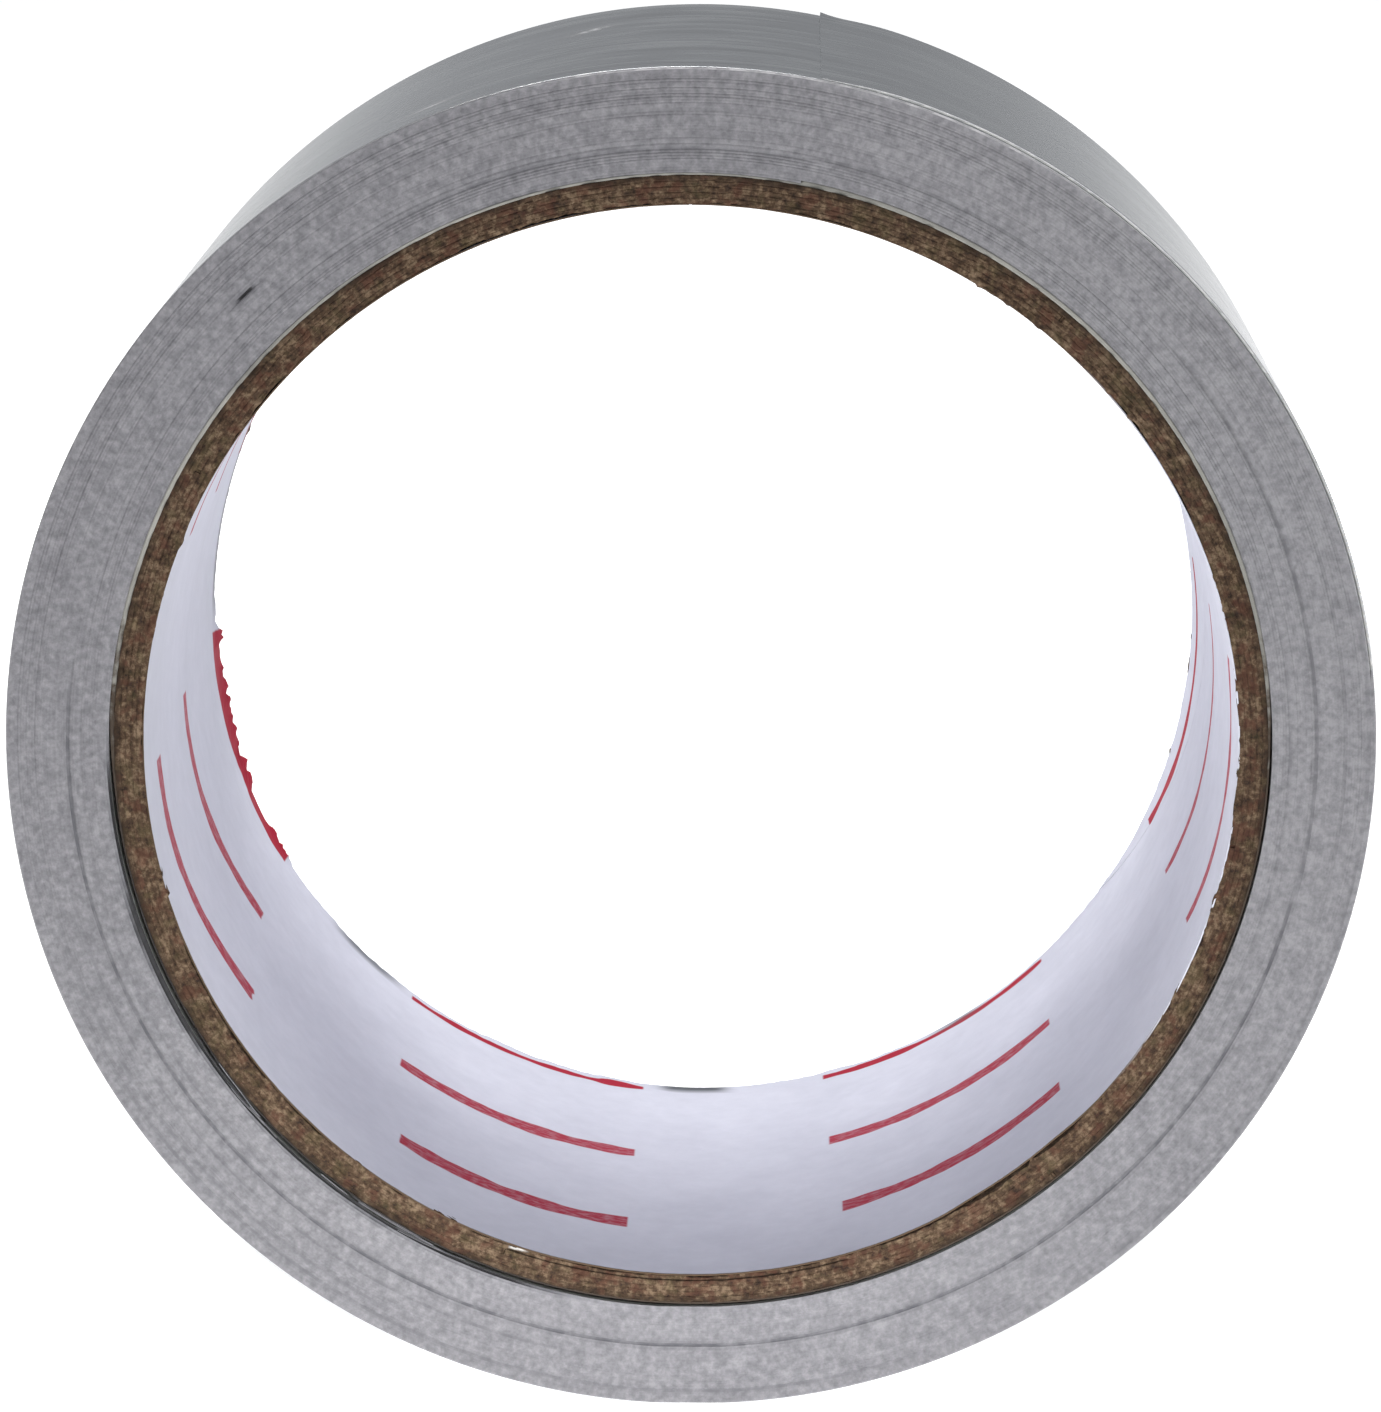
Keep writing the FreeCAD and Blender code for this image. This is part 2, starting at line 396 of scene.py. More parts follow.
def board_material():
    """Brown kraft board, cut across: short fibres, reddish and olive flecks, a darker outer rim. A
    mark above 0 is painted shade, a dark gap, and below 0 a shred of white liner."""
    g = Graph(bpy.data.materials.new("kraft_board"))
    *_, radius = g.lay()
    place = g.place()
    fibre = g.noise(place, 2200.0, 5.0, 0.72)
    clump = g.noise(place, 700.0, 3.0)
    hue = g.noise(place, 900.0, 2.0)
    colour = g.ramp(
        g.total((fibre, 0.72), (clump, 0.28)),
        (0.37, (0.022, 0.012, 0.008)),
        (0.50, (0.086, 0.052, 0.031)),
        (0.63, (0.225, 0.158, 0.102)),
    )
    colour = g.mix(g.range(hue, 0.52, 0.66, 0.0, 0.55), colour, (0.095, 0.038, 0.024))
    colour = g.mix(g.range(hue, 0.46, 0.32, 0.0, 0.28), colour, (0.080, 0.070, 0.030))
    rim = g.range(radius, CORE - WRAP - 0.60, CORE - WRAP - 0.05)
    rim = g.math("MULTIPLY", rim, g.range(clump, 0.35, 0.60, 0.85, 0.45))
    colour = g.mix(rim, colour, (0.026, 0.016, 0.010))
    mark = g.mark()
    colour = g.mix(g.toward(mark, 1.0), colour, (0.010, 0.007, 0.005))
    colour = g.mix(g.toward(mark, -1.0), colour, (0.62, 0.61, 0.58))
    return g.finish(
        Base_Color=colour,
        Roughness=g.range(fibre, 0.3, 0.7, 0.80, 0.96),
        Specular_IOR_Level=0.25,
        Normal=g.bump(g.total((fibre, 1.0), (clump, 1.0)), 0.12 * MM, 0.9),
    )


def paper_grain(g):
    """The paper's fine pulp, and the tone that it makes with slower clouds."""
    place = g.place()
    pulp = g.noise(place, 700.0, 5.0, 0.6)
    return pulp, g.total((pulp, 0.4), (g.noise(place, 90.0, 3.0), 0.6))


PALE_CLOCK = 1.0


def pale_paper_material():
    """The thin outer wrap: pale paper about one clock angle, brown further round, and dark where it is
    marked, as painted shade of the gap between the core and the tape."""
    g = Graph(bpy.data.materials.new("pale_paper"))
    _, clock, *_ = g.lay()
    pulp, tone = paper_grain(g)
    colour = g.ramp(tone, (0.35, (0.20, 0.195, 0.178)), (0.65, (0.38, 0.372, 0.340)))
    turned = g.math("FRACT", g.math("DIVIDE", g.math("ADD", clock, 180.0 - PALE_CLOCK), 360.0))
    away = g.total((g.away(turned, 0.5), 360.0), (g.math("SUBTRACT", pulp, 0.5), 40.0))
    colour = g.mix(g.range(away, 76.0, 88.0), colour, (0.045, 0.030, 0.019))
    colour = g.mix(g.mark(), colour, (0.016, 0.012, 0.009))
    return g.finish(
        Base_Color=colour,
        Roughness=g.range(pulp, 0.3, 0.7, 0.70, 0.88),
        Normal=g.bump(pulp, 0.04 * MM, 0.6),
    )


PRINT_BLOCKS = 7
PRINT_CLOCK = 150.2
# Each printed rule: its place across, half its thickness, half its length and how far it is turned.
PRINT_RULES = (
    (-12.6, 1.12, 13.65, -0.6),
    (5.0, 1.02, 14.35, 0.1),
    (22.8, 0.50, 14.8, 0.3),
)


def printed_rules(g, lay, clock, across):
    """How much ink there is: groups of three plain rules, a little uneven in thickness and in tone."""
    pitch = 360.0 / PRINT_BLOCKS
    turned = g.math("DIVIDE", g.math("SUBTRACT", clock, PRINT_CLOCK - pitch / 2), pitch)
    within = g.math("MULTIPLY", g.math("SUBTRACT", g.math("FRACT", turned), 0.5), pitch)
    wander = g.noise(lay, (0.16, 0.12, 0.0), 1.0)
    swell = g.range(wander, 0.3, 0.7, -0.30, 0.20, smooth=False)
    right_wall = g.range(g.split(g.place())["X"], 29.0 * MM, 36.0 * MM)
    thinner = g.math("MULTIPLY", right_wall, g.range(across, 14.0, 20.0, -0.42, 0.28))
    swell = g.math("ADD", swell, thinner)
    ink = None
    for place, half, reach, turn in PRINT_RULES:
        beyond = g.math("SUBTRACT", g.away(across, place), swell)
        rule = g.range(beyond, half, half + 0.16, 1.0, 0.0)
        rule = g.math("MULTIPLY", rule, g.band(within, turn, reach, 0.3))
        ink = rule if ink is None else g.math("MAXIMUM", ink, rule)
    patchy = g.range(g.noise(lay, (0.8, 2.5, 0.0), 4.0), 0.30, 0.60, 0.76, 0.98)
    return g.math("MULTIPLY", ink, g.math("MAXIMUM", patchy, g.range(across, 20.0, 21.0)))


def printed_material():
    """White coated paper, printed in red on its inner face. A mark above 0 is grey: dirt on the back
    edge, and painted shade on the left wall. Below 0 it is brown glue."""
    g = Graph(bpy.data.materials.new("printed_paper"))
    lay, clock, across, radius = g.lay()
    pulp, tone = paper_grain(g)
    paper = g.ramp(tone, (0.35, (0.628, 0.636, 0.716)), (0.65, (0.722, 0.730, 0.810)))
    inner_face = g.range(radius, BORE + 0.03, BORE + 0.06, 1.0, 0.0)
    ink = g.math("MULTIPLY", printed_rules(g, lay, clock, across), inner_face)
    red = g.mix(g.range(across, 20.8, 22.2), (0.43, 0.032, 0.060), (0.42, 0.022, 0.045))
    colour = g.mix(ink, paper, red)
    mark = g.mark()
    colour = g.mix(g.toward(mark, 1.0), colour, (0.13, 0.14, 0.15))
    colour = g.mix(g.toward(mark, -1.0), colour, (0.105, 0.068, 0.042))
    return g.finish(
        Base_Color=colour,
        Roughness=g.range(tone, 0.3, 0.7, 0.60, 0.78),
        Specular_IOR_Level=0.15,
        Normal=g.bump(pulp, 0.02 * MM, 0.5),
    )


MATERIALS = {
    "silver_film": film_material(),
    "tape_edges": edge_material(),
    "cloth": cloth_material(),
    "adhesive": glue_material(),
    "kraft_board": board_material(),
    "pale_paper": pale_paper_material(),
    "printed_paper": printed_material(),
}


def stand_on_roll(piece, node):
    """The piece rides on the roll, and stands for this CAD node."""
    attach(piece, "roll")
    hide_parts(node)


# ---------------------------------------------------------------- the wound pack

STEP = 1.0              # the turn between the rows of the wound strip's meshes
END_TURN = 180.0 * HALF_TURNS - TAIL_PARTS * TAIL_TURN
LAST_LAP = END_TURN - 360.0


def spiral(turned, height):
    """x and z of the point this far round the strip from its inner end, above its underside."""
    number = np.floor(np.clip(turned, 0, None) / 180.0).astype(int)
    clock = FREE_END - turned
    radius = CORE + SLACK + PITCH * number + height
    away = turn_from(clock, REST_CLOCK)
    flat = (number % 2 == 1) & (np.abs(away) < REST_HALF)
    cosine = np.cos(np.radians(np.where(flat, away, REST_HALF)))
    radius = np.where(flat, radius * math.cos(math.radians(REST_HALF)) / cosine, radius)
    centre = np.where((number % 2 == 1)[..., None], ODD_CENTRE, EVEN_CENTRE)
    return centre + polar(clock, radius)


SINK = 0.09             # how far a lap of depth 1 lies behind its neighbours
SUNK_FADE = 14.0
SUNK_NEIGHBOUR = 0.25
# Laps that sit deeper than the rest: lap, clock at the middle, half the reach and depth. The depth
# also darkens the side as painted shade, and past a depth of 1 the side is painted black, as the shade
# in a gap or a nick.
SUNK_LAPS = (
    (0, 232.0, 44.0, 2.30),
    (1, 214.0, 10.0, 1.30),
    (1, 247.0, 17.0, 2.20),
    (2, 251.0, 9.0, 1.60),
    (6, 100.0, 26.0, 0.35),
    (8, 2.0, 40.0, 0.60),
    (10, 240.0, 30.0, 0.35),
    (14, 190.0, 95.0, 1.00),
    (15, 78.0, 34.0, 0.75),
    (18, 316.5, 1.8, 2.60),
    (20, 222.0, 40.0, 0.44),
    (21, 330.0, 50.0, 0.25),
    (25, 92.0, 30.0, 0.35),
    (27, 232.0, 34.0, 0.52),
    (31, 205.0, 50.0, 0.58),
    (33, 112.0, 40.0, 0.40),
)


def sunk(turned):
    """How deep a lap sits at this place."""
    lap = np.floor(turned / 360.0)
    clock = (FREE_END - turned) % 360.0
    depth = np.zeros_like(turned)
    for number, middle, reach, strength in SUNK_LAPS:
        beside = np.where(np.abs(lap - number) == 1, SUNK_NEIGHBOUR, 0.0)
        near = np.where(lap == number, 1.0, beside)
        here = window(clock, middle, reach, min(SUNK_FADE, reach))
        depth = np.maximum(depth, near * strength * here)
    return depth


EDGE_WANDER, LAP_JITTER = 0.020, 0.0022


def side_offset(turned, seed):
    """How far the strip's edge wanders out of the end plane."""
    slow = EDGE_WANDER * wave(turned, seed, END_TURN, 5)
    laps = np.floor(turned / 360.0)
    rng = np.random.default_rng(seed + 1)
    jitter = rng.normal(0.0, LAP_JITTER, HALF_TURNS)
    lap_part = turned / 360.0 - laps
    step = jitter[laps.astype(int)] * (1 - lap_part) + jitter[laps.astype(int) + 1] * lap_part
    return slow + step


FACE_INSET = 0.03       # how far the pack's sides lie inside the tape's width
FILM_ROUND = 0.05       # how far below the film's face its rounded edge ends
# Lines along a lap's edge: height, how far it lies back, and its share of the lap.
LAP_LINES = (
    (0.0, -0.009, 0.0),
    (0.05, 0.0, 0.25),
    (0.15, 0.0, 0.75),
)
LAP_SEAM_SHADE = 0.06


def pack_side(shell, side, seed):
    """One side of the pack: three lines along each lap's edge, and a fourth at the next lap's foot.
    The last lap ends at the film's rounded edge, which is pale, and paler near the top of the roll as a
    painted highlight."""
    turned = np.arange(0.0, END_TURN + STEP / 2, STEP)
    depth = sunk(turned)
    offset = side_offset(turned, seed) - SINK * depth
    rows = []
    for height, inset, _ in LAP_LINES:
        y = side * (HALF_WIDTH - FACE_INSET + offset + inset)
        rows.append(three(spiral(turned, height), y))
    last = turned >= LAST_LAP - STEP / 2
    top = three(spiral(turned, LAP - FILM_ROUND), side * (HALF_WIDTH - FILM_EDGE[0][0] + offset))
    per_lap = int(round(360.0 / STEP))
    above = rows[0].copy()
    above[:-per_lap] = rows[0][per_lap:]
    above[last] = top[last]
    rows.append(above)
    grid = np.stack(rows, 1)
    lay = np.zeros_like(grid)
    mean_radius = CORE + LAP * turned / 720.0
    lay[..., 0] = (turned / 360.0 * 2 * math.pi * mean_radius)[:, None]
    lay[..., 1] = side * HALF_WIDTH
    lay[..., 2] = turned[:, None] / 360.0 + np.array([share for *_, share in LAP_LINES] + [1.0])
    # The depth darkens the side as painted shade, and the seams between laps get a little painted shade
    # too.
    mark = np.repeat(depth[:, None], len(rows), 1)
    mark[:, 0] = np.maximum(mark[:, 0], LAP_SEAM_SHADE)
    mark[:, 3] = np.maximum(mark[:, 3], LAP_SEAM_SHADE)
    # Painted highlight: the last lap's film edge is made paler near the top of the roll, where the light
    # catches it.
    wear_and_painted_light = np.clip((28.0 - np.abs(turn_from(FREE_END - turned, 0.0) - 10.0)) / 12.0, 0.0, 1.0)
    mark[last, 2:] = -(0.28 + 0.72 * wear_and_painted_light[last, None])
    mark[last, 1] = -0.8 * wear_and_painted_light[last]
    shell.patch(grid, lay, mark, flip=side < 0)


def frayed_fibres(shell):
    """Dark fibres that hang in the gap between the core and the tape, at the lower left."""
    rng = np.random.default_rng(77)
    for _ in range(16):
        start = rng.uniform(202.0, 236.0)
        clocks = start + np.linspace(0.0, rng.uniform(3.0, 10.0), 14)
        drift = rng.uniform(-0.05, 0.22) + rng.uniform(-0.02, 0.02) * (clocks - start)
        radius = CORE + 0.05 + drift + 0.03 * wave(clocks, int(rng.integers(900)), 30.0, 3)
        y = -HALF_WIDTH + rng.uniform(-0.10, 0.06) + 0.04 * wave(clocks, int(rng.integers(900)), 40.0, 2)
        thick = rng.uniform(0.03, 0.06)
        inner_line = three(polar(clocks, radius), y)
        outer_line = three(polar(clocks, radius + thick), y - 0.02)
        grid = np.stack([inner_line, outer_line], 1)
        shell.patch(grid, grid, rng.uniform(0.3, 1.9), flip=True)


def wound_pack():
    shell = Shell()
    pack_side(shell, -1.0, FRONT_SEED)
    pack_side(shell, 1.0, BACK_SEED)
    frayed_fibres(shell)
    return shell.build("pack_edges", MATERIALS["tape_edges"])


# The film's rounded edge: how far in from the tape's width, and how far below the film's face.
FILM_EDGE = ((0.045, -FILM_ROUND), (0.05, -0.022), (0.10, -0.005), (0.20, 0.0))


def film_profile(count=14):
    """Places across the film's outer face, and each one's height over it: below 0 at its edges."""
    edge = [(-HALF_WIDTH + inset, height) for inset, height in FILM_EDGE]
    middle = np.linspace(-HALF_WIDTH + 0.6, HALF_WIDTH - 0.6, count)
    rows = edge + [(y, 0.0) for y in middle] + [(-y, height) for y, height in reversed(edge)]
    return np.array(rows)


def length_along(turned):
    return turned / 360.0 * 2 * math.pi * LAY_RADIUS


def cut_end(shell, turn, flip=False):
    """A face across the strip's whole thickness, where it ends."""
    across = np.array([-HALF_WIDTH + 0.1, HALF_WIDTH - 0.1])
    grid = np.stack([three(spiral(np.full(2, turn), height), across) for height in (0.0, LAP)])
    lay = np.zeros_like(grid)
    lay[..., 1] = grid[..., 1]
    shell.patch(grid, lay, flip=flip)


# Pale scuffs on the film: clock, half the length, place across, half the width and slant.
SCRATCHES = (
    (350.6, 3.4, 9.0, 1.5, 0.9),
    (338.0, 5.0, -16.5, 0.9, 0.25),
    (96.0, 6.0, 12.0, 0.9, -0.3),
)


def outer_film():
    """The film on the outside of the roll, up to where the free end is hinged."""
    turned = np.arange(LAST_LAP, END_TURN + STEP / 2, STEP)
    rows = film_profile(56)
    grid = np.zeros((len(turned), len(rows), 3))
    front = side_offset(turned, FRONT_SEED) - SINK * sunk(turned)
    back = side_offset(turned, BACK_SEED) - SINK * sunk(turned)
    for column, (y, drop) in enumerate(rows):
        near = front if y < 0 else back
        place = y + math.copysign(1.0, y) * near * max(0.0, (abs(y) - 22.0) / 2.0)
        grid[:, column] = three(spiral(turned, LAP + drop), place)
    lay = np.zeros_like(grid)
    lay[..., 0] = length_along(turned)[:, None]
    lay[..., 1] = rows[:, 0]
    clock = (FREE_END - turned)[:, None]
    mark = np.zeros(grid.shape[:2])
    for middle, reach, y, half, slope in SCRATCHES:
        off = rows[:, 0] - y - slope * turn_from(clock, middle)
        mark += window(clock, middle, reach, reach) * np.clip(1.0 - np.abs(off) / half, 0.0, 1.0)
    shell = Shell()
    shell.patch(grid, lay, np.minimum(mark, 1.0))
    cut_end(shell, END_TURN)
    return shell.build("pack_film", MATERIALS["silver_film"])


def inner_glue():
    """The glue on the inside of the first lap, which faces the core."""
    turned = np.arange(0.0, 360.0 + STEP / 2, STEP)
    ys = np.linspace(-HALF_WIDTH + 0.07, HALF_WIDTH - 0.07, 9)
    grid = np.stack([three(spiral(turned, 0.0), y) for y in ys], 1)
    lay = np.zeros_like(grid)
    lay[..., 0] = (turned / 360.0 * 2 * math.pi * CORE)[:, None]
    lay[..., 1] = ys
    shell = Shell()
    shell.patch(grid, lay, flip=True)
    cut_end(shell, 0.0, flip=True)
    return shell.build("pack_glue", MATERIALS["adhesive"])


stand_on_roll(wound_pack(), "tape_scrim")
stand_on_roll(outer_film(), "tape_backing")
stand_on_roll(inner_glue(), "tape_adhesive")

# ---------------------------------------------------------------- the core


def pack_inside(clock):
    """The distance from the bore's axis to the inside of the wound tape."""
    turned = (FREE_END - clock) % 360.0
    return np.linalg.norm(spiral(turned, 0.0), axis=-1)


# Small burrs of board that stand into the bore at the front: clock, half the width and length.
BURRS = (
    (254.2, 0.6, 0.26),
    (256.4, 0.4, 0.15),
    (231.0, 0.5, 0.22),
    (206.0, 0.7, 0.20),
    (140.6, 0.6, 0.22),
    (52.0, 0.5, 0.20),
)


def burrs(clock):
    return sum(length * window(clock, place, half, half) for place, half, length in BURRS)


def board_tear(clock, y):
    """How far the innermost ply's edges stand into the bore, and, below 0, how far they are worn."""
    torn = 0.085 * wave(clock, 103, 360.0, 9, 0.9) - 0.02
    if y < 0:
        torn = torn + burrs(clock)
    return torn


# Places on the liner: clock at the middle, half the reach, fade and, last, how high or how strong.
FRONT_LIFT = ((143.0, 12.0, 8.0, 0.20),)
BACK_TEARS = (
    (261.3, 8.0, 1.5, 0.48),
    (250.8, 2.4, 1.2, 0.30),
    (241.2, 3.4, 1.5, 0.26),
)
BACK_DIRT = (
    (181.0, 5.0, 2.5, 1.0),
    (224.0, 7.0, 5.0, 0.8),
    (282.0, 14.0, 6.0, 0.6),
    (148.0, 5.0, 4.0, 0.5),
)
# Painted shade on the liner's left wall: clock at the middle, half the reach, fade and strength.
LEFT_WALL_SHADE = ((290.0, 55.0, 40.0, 0.32),)


def liner_curl(clock, y):
    """How far the liner's edges stand off the board: lifted in front, torn and folded up behind."""
    front = windows(clock, FRONT_LIFT) * np.clip((-y - 20.0) / 4.0, 0.0, 1.0) ** 2
    ripple = np.maximum(wave(clock, 907, 360.0, 9, 0.95), -0.9)
    torn = windows(clock, BACK_TEARS) * (1.0 + 0.6 * ripple)
    light = 0.03 + 0.06 * np.maximum(wave(clock, 911, 360.0, 8, 0.9), 0.0)
    return front + (light + torn) * np.clip((y - 22.3) / 1.6, 0.0, 1.0) ** 1.5


def liner_stain_and_shade(clock, y):
    """Grey on the liner, above 0: painted shade on its left wall, and dirt on its back edge. Brown glue
    on its front edge, below 0. The painted shade on the left is lighter towards the back."""
    left_shade = windows(clock, LEFT_WALL_SHADE) * (1.0 - 0.4 * min(1.0, (y + 24.0) / 20.0))
    if y > 22.5:
        spots = windows(clock, BACK_DIRT) * (1.0 if y > 23.2 else 0.6)
        return np.minimum(spots + left_shade, 1.0)
    if y < -23.95:
        return window(clock, 86.0, 44.0, 16.0) - 1.0
    return left_shade


def print_clock(clock, y):
    """The clock by which the rules are printed: some of them run a little long or short."""
    rows = [(82.0, 9.0, 7.0, 3.0)]
    if y < -5.0:
        rows += [(237.0, 7.0, 7.0, 2.0), (214.0, 6.0, 5.0, 0.8)]
    else:
        rows += [(239.0, 7.0, 6.0, -0.9)]
    return clock + windows(clock, rows)


def print_across(clock, y):
    """The place across by which the rules are printed: they lie nearer the front on both walls."""
    left = 3.2 * window(clock, 264.0, 28.0, 22.0) * min(1.0, max(0.0, (22.0 - y) / 14.0))
    place = y + left + 4.2 * window(clock, 88.0, 38.0, 24.0)
    if y < -5.0:
        place = place + 3.5 * window(clock, 77.0, 9.0, 9.0)
    if y > 22.6:
        place = place + (22.8 - place) * window(clock, 253.5, 17.0, 3.0)
    return place


STRIP_ROWS = 901
STRIP_FLATS = (23.97, 23.8, 23.4, 22.9, 22.3, *np.arange(21.0, 0.5, -1.5))


def strip_loop(inner, outer):
    """Once round a strip's section: radius, place across, and 1 where it is a cut end. The inner
    face comes first, and the number of its points is returned too."""
    radii = np.linspace(inner, outer, 4)
    ys = [-y for y in STRIP_FLATS] + [0.0] + [y for y in reversed(STRIP_FLATS)]
    loop = [(inner, y, 0) for y in ys]
    loop += [(radius, HALF_WIDTH, 1) for radius in radii]
    loop += [(outer, y, 0) for y in reversed(ys)]
    loop += [(radius, -HALF_WIDTH, 1) for radius in reversed(radii)]
    return loop + loop[:1], len(ys)


def close_seam(shell, grid, lay, face_points):
    """The two long edges that meet at the seam, each from the strip's inner face to its outer one."""
    corner = (grid.shape[1] - 1) // 2
    for row, flip in ((0, False), (-1, True)):
        inner_line = grid[row, :face_points]
        outer_line = grid[row, corner:corner + face_points][::-1]
        both = np.stack([inner_line, outer_line])
        shell.patch(both, np.stack([lay[row, :face_points]] * 2), flip=flip)


def core_strip(name, node, number, inner, outer, material, ragged, rough=0.0, proud=0.0, fill=None):
    """A paper strip wound as a helix, its two long edges butted at one seam. Its ends are ragged by
    this much, rough over their faces, and stand proud. fill is the stretch of clock over which its
    outer face swells out to meet the tape: the middle and half the reach."""
    loop, face_points = strip_loop(inner, outer)
    gap = SEAM_GAP * 360.0 / SEAM_LEAD
    around = np.linspace(gap / 2, 360.0 - gap / 2, STRIP_ROWS)
    grid = np.zeros((len(around), len(loop), 3))
    lay = np.zeros_like(grid)
    mark = np.zeros(grid.shape[:2])
    for column, (radius, y, end) in enumerate(loop):
        side = math.copysign(1.0, y)
        clock = number * SEAM_STAGGER + (y + HALF_WIDTH) * 360.0 / SEAM_LEAD + around
        edge = max(0.0, (abs(y) - 22.4) / 1.6)
        seed = 100 * number + (51 if side > 0 else 1)
        place = edge * (proud + ragged * wave(clock, seed, 360.0, 9, 0.9))
        place = place + rough * grain(clock, radius, 61 if side > 0 else 62) * end
        r = np.full_like(clock, radius)
        if number == 0:
            r = r - liner_curl(clock, y)
            mark[:, column] = liner_stain_and_shade(clock, y)
        if number == 1:
            r = r - board_tear(clock, y) * edge * (outer - radius) / (outer - inner)
        if number == 1 and y < 0:
            wear_and_painted_light = window(clock, 181.5, 18.6, 0.8)
            place = place + (0.5 * burrs(clock) - 0.13 * wear_and_painted_light) * edge
            # The ply's outer corner there is painted dark, as the shade of the gap between the plies.
            mark[:, column] = 0.9 * wear_and_painted_light * end * (radius > outer - 0.01)
            mark[:, column] -= window(clock, 198.6, 1.1, 0.5) * end * (radius < inner + 0.2)
        if fill:
            # A strip with fill is painted dark at the lower left, as the shade of the gap between the
            # core and the tape.
            mark[:, column] = window(clock, 228.0, 44.0, 20.0)
        if fill and radius > inner:
            share = window(clock, fill[0], fill[1], 12.0) * (radius - inner) / (outer - inner)
            r = r + share * np.maximum(pack_inside(clock) - 0.012 - outer, 0.0)
        grid[:, column] = three(polar(clock, r), y + side * place)
        lay[:, column, 0] = print_clock(clock, y) if number == 0 else clock
        lay[:, column, 1] = print_across(clock, y) if number == 0 else y
        lay[:, column, 2] = radius
    shell = Shell()
    shell.patch(grid, lay, mark, flip=True)
    close_seam(shell, grid, lay, face_points)
    stand_on_roll(shell.build(name, MATERIALS[material]), node)


PLY_GAP = 0.002         # how far each board ply's faces draw back from its neighbours'

core_strip("liner_sheet", "core_liner", 0, BORE, BORE + LINER, "printed_paper", 0.035)
for number in range(1, PLIES + 1):
    inner = BORE + LINER + (number - 1) * PLY
    core_strip(
        "board_ply_{}".format(number),
        "core_ply_{}".format(number),
        number,
        inner + PLY_GAP,
        inner + PLY - PLY_GAP,
        "kraft_board",
        0.010,
        rough=0.045,
    )
core_strip(
    "wrap_sheet",
    "core_wrap",
    PLIES + 1,
    CORE - WRAP,
    CORE,
    "pale_paper",
    0.03,
    proud=0.01,
    fill=(-2.0, 94.0),
)

# ---------------------------------------------------------------- the free end

TAIL_RADIUS = CORE + SLACK + PITCH * (HALF_TURNS - 1) + TAIL_GAP
# The free end's layers: piece name, CAD name, material, and the heights of its two faces.
TAIL_LAYERS = (
    ("glue", "adhesive", "adhesive", 0.0, GLUE),
    ("cloth", "scrim", "cloth", GLUE, GLUE + CLOTH),
    ("film", "backing", "silver_film", GLUE + CLOTH, LAP),
)


def tail_lift(clock, y):
    """How far the free end's back corner has come away."""
    near = np.clip(1.0 - (clock - FREE_END) / 2.4, 0.0, 1.0)
    corner = np.clip((y - 19.0) / 5.0, 0.0, 1.0)
    return 0.20 * near * near * corner * corner


def tail_press(clock):
    """How much of its thickness the free end keeps: it is pressed thin towards the cut."""
    near = np.clip(1.0 - (clock - FREE_END) / 7.0, 0.0, 1.0)
    return 1.0 - 0.72 * near * near * (3.0 - 2.0 * near)


def tail_surface(clocks, ys, height):
    """A face of the free end, as a grid of points at this height over its underside."""
    c, y = np.meshgrid(clocks, ys, indexing="ij")
    front = side_offset(np.full_like(c, END_TURN) + HINGE_CLOCK - c, FRONT_SEED)
    back = side_offset(np.full_like(c, END_TURN) + HINGE_CLOCK - c, BACK_SEED)
    shift = np.where(y < 0, -front, back) * np.clip((np.abs(y) - 22.0) / 2.0, 0.0, 1.0)
    press = tail_press(c)
    radius = TAIL_RADIUS + height * press - 0.02 * (1.0 - press) + tail_lift(c, y)
    return three(ODD_CENTRE + polar(c, radius), y + shift)


def tail_piece(part, layer, node_name, material, low, high):
    """One layer of one segment of the free end. Segments meet half way between two hinges."""
    hinge = HINGE_CLOCK - TAIL_TURN * (part - 1)
    reach = TAIL_TURN / 2
    start = hinge if part == 1 else hinge + reach
    end = FREE_END if part == TAIL_PARTS else hinge - reach
    clocks = np.linspace(start, end, int(round((start - end) / 0.75)) + 1)
    rows = film_profile()
    drops = rows[:, 1] if layer == "film" else np.zeros(len(rows))
    ys = rows[:, 0]
    top = tail_surface(clocks, ys, high)
    axis = three(np.broadcast_to(ODD_CENTRE, top.shape[:2] + (2,)), top[..., 1])
    outward = top - axis
    outward /= np.linalg.norm(outward, axis=-1, keepdims=True)
    top = top + outward * (drops * tail_press(clocks)[:, None])[..., None]
    bottom = tail_surface(clocks, ys, low)
    lay = np.zeros_like(top)
    lay[..., 0] = length_along(END_TURN + HINGE_CLOCK - clocks)[:, None]
    lay[..., 1] = ys
    shell = Shell()
    shell.patch(top, lay)
    shell.patch(bottom, lay, flip=True)
    for column, flip in ((0, False), (-1, True)):
        strip = np.stack([bottom[:, column], top[:, column]], 1)
        shell.patch(strip, np.stack([lay[:, column]] * 2, 1), flip=flip)
    for row, flip in ((0, False), (-1, True)):
        strip = np.stack([bottom[row], top[row]])
        shell.patch(strip, np.stack([lay[row]] * 2), flip=flip)
    piece = shell.build("tail_{}_{}_sheet".format(part, layer), MATERIALS[material])

    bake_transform(piece)
    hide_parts("tail_{}_{}".format(part, node_name))


for part in range(1, TAIL_PARTS + 1):
    for layer in TAIL_LAYERS:
        tail_piece(part, *layer)

# ---------------------------------------------------------------- stage, light and camera

OUTSIDE = CORE + SLACK + PITCH * (HALF_TURNS - 1) + LAP
FLOOR_Z = ODD_CENTRE[1] - OUTSIDE * math.cos(math.radians(REST_HALF))
FLOOR_REACH = 8000.0


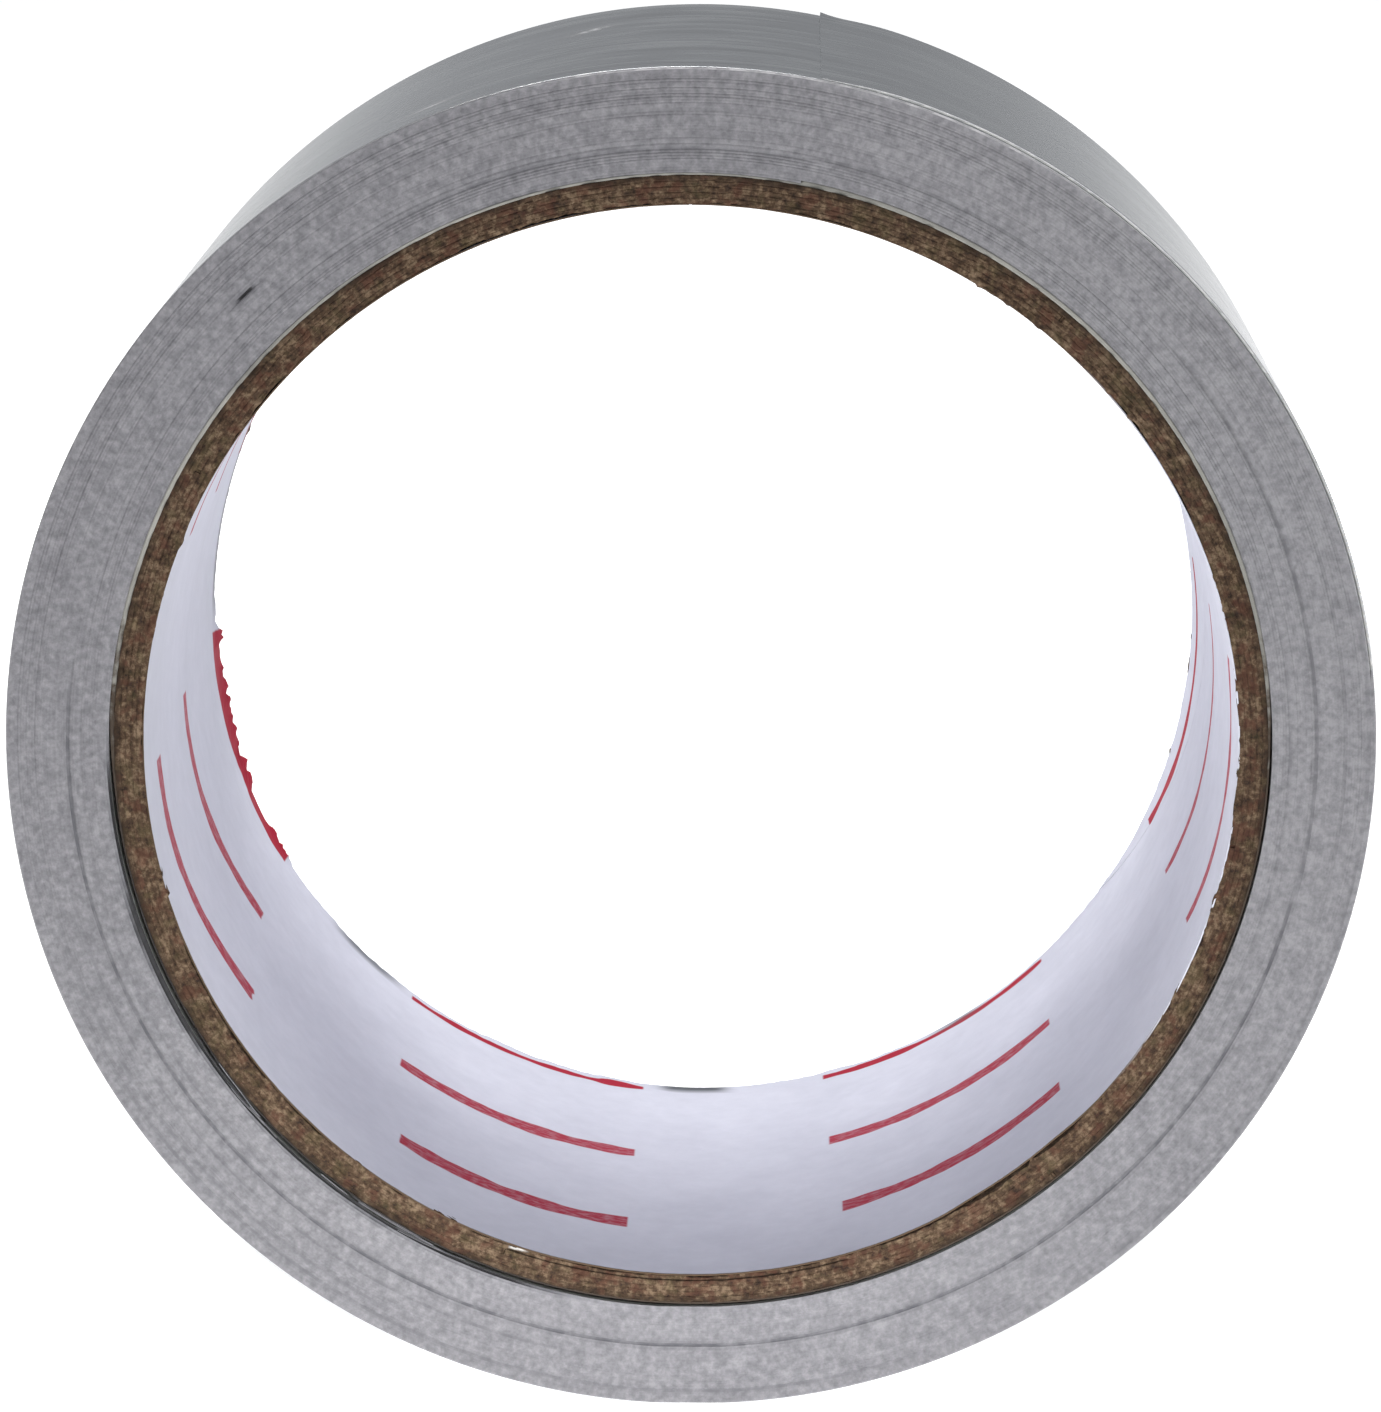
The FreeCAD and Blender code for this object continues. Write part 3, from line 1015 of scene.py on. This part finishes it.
def stage():
    """A white floor that glows a little, so that it stays nearly white behind the roll."""
    g = Graph(bpy.data.materials.new("stage_white"))
    cloudy = g.noise(g.place(), 3.0, 2.0)
    material = g.finish(
        Base_Color=g.ramp(cloudy, (0.3, (0.86, 0.86, 0.86)), (0.7, (0.90, 0.90, 0.90))),
        Roughness=0.9,
        Specular_IOR_Level=0.1,
        Emission_Color=(1.0, 1.0, 1.0),
        Emission_Strength=0.66,
    )
    line = np.linspace(-FLOOR_REACH, FLOOR_REACH, 41)
    x, y = np.meshgrid(line, line, indexing="ij")
    grid = np.stack([x, y, np.full_like(x, FLOOR_Z - 0.01)], -1)
    shell = Shell()
    shell.patch(grid, grid, flip=True)
    shell.build("stage_floor", material)


stage()


def softbox(name, place, size, power, aim=(0.0, 0.0, 0.0)):
    """A rectangular light of this many watts, turned to face its aim."""
    light = bpy.data.lights.new(name, "AREA")
    light.shape = "RECTANGLE"
    light.size, light.size_y = size
    light.energy = power
    lamp = bpy.data.objects.new(name, light)
    bpy.context.scene.collection.objects.link(lamp)
    lamp.location = place
    lamp.rotation_mode = "QUATERNION"
    lamp.rotation_quaternion = (Vector(aim) - Vector(place)).to_track_quat("-Z", "Y")
    lamp.visible_camera = False


softbox("back_box", (-0.10, 0.30, 0.80), (0.45, 0.4), 5.6)
softbox("front_box", (0.32, -0.62, 0.42), (0.6, 0.45), 1.14)
softbox("low_strip", (-0.003, -0.075, -0.040), (0.06, 0.01), 0.028, aim=(0.0, -0.02, -0.038))


def studio_world():
    """Grey studio air: paler overhead, in front, and low behind, where the white sweep ends."""
    g = Graph(bpy.data.worlds.new("studio"))
    _, depth, height = g.split(g.node("ShaderNodeTexCoord").outputs["Generated"])
    overhead = g.range(height, 0.05, 0.75, 0.13, 0.26)
    front = g.range(depth, 0.3, -0.5, 0.0, 0.12)
    sweep = g.math("MULTIPLY", g.range(height, 0.13, 0.03, 0.0, 0.25), g.range(depth, 0.5, 0.8))
    strength = g.total((overhead, 1.0), (front, 1.0), (sweep, 1.0))
    return g.finish("Background", Color=(0.95, 0.97, 1.0), Strength=strength)


bpy.context.scene.world = studio_world()

CAMERA_AZIMUTH, CAMERA_ELEVATION = 1.136, 12.085
CAMERA_DISTANCE = 416.862
CAMERA_TARGET = (-0.442, 0.0, -1.981)
CAMERA_LENS, CAMERA_SENSOR = 144.3756, 36.0


def place_camera():
    camera = bpy.data.cameras.new("camera")
    camera.sensor_width = CAMERA_SENSOR
    camera.lens = CAMERA_LENS
    camera.clip_start, camera.clip_end = 0.01, 20.0
    eye = bpy.data.objects.new("camera", camera)
    bpy.context.scene.collection.objects.link(eye)
    bpy.context.scene.camera = eye
    az, el = math.radians(CAMERA_AZIMUTH), math.radians(CAMERA_ELEVATION)
    back = Vector((math.sin(az) * math.cos(el), -math.cos(az) * math.cos(el), math.sin(el)))
    eye.location = (Vector(CAMERA_TARGET) + back * CAMERA_DISTANCE) * MM
    eye.rotation_mode = "QUATERNION"
    eye.rotation_quaternion = (-back).to_track_quat("-Z", "Y")


place_camera()
bpy.context.scene.view_settings.view_transform = "Standard"
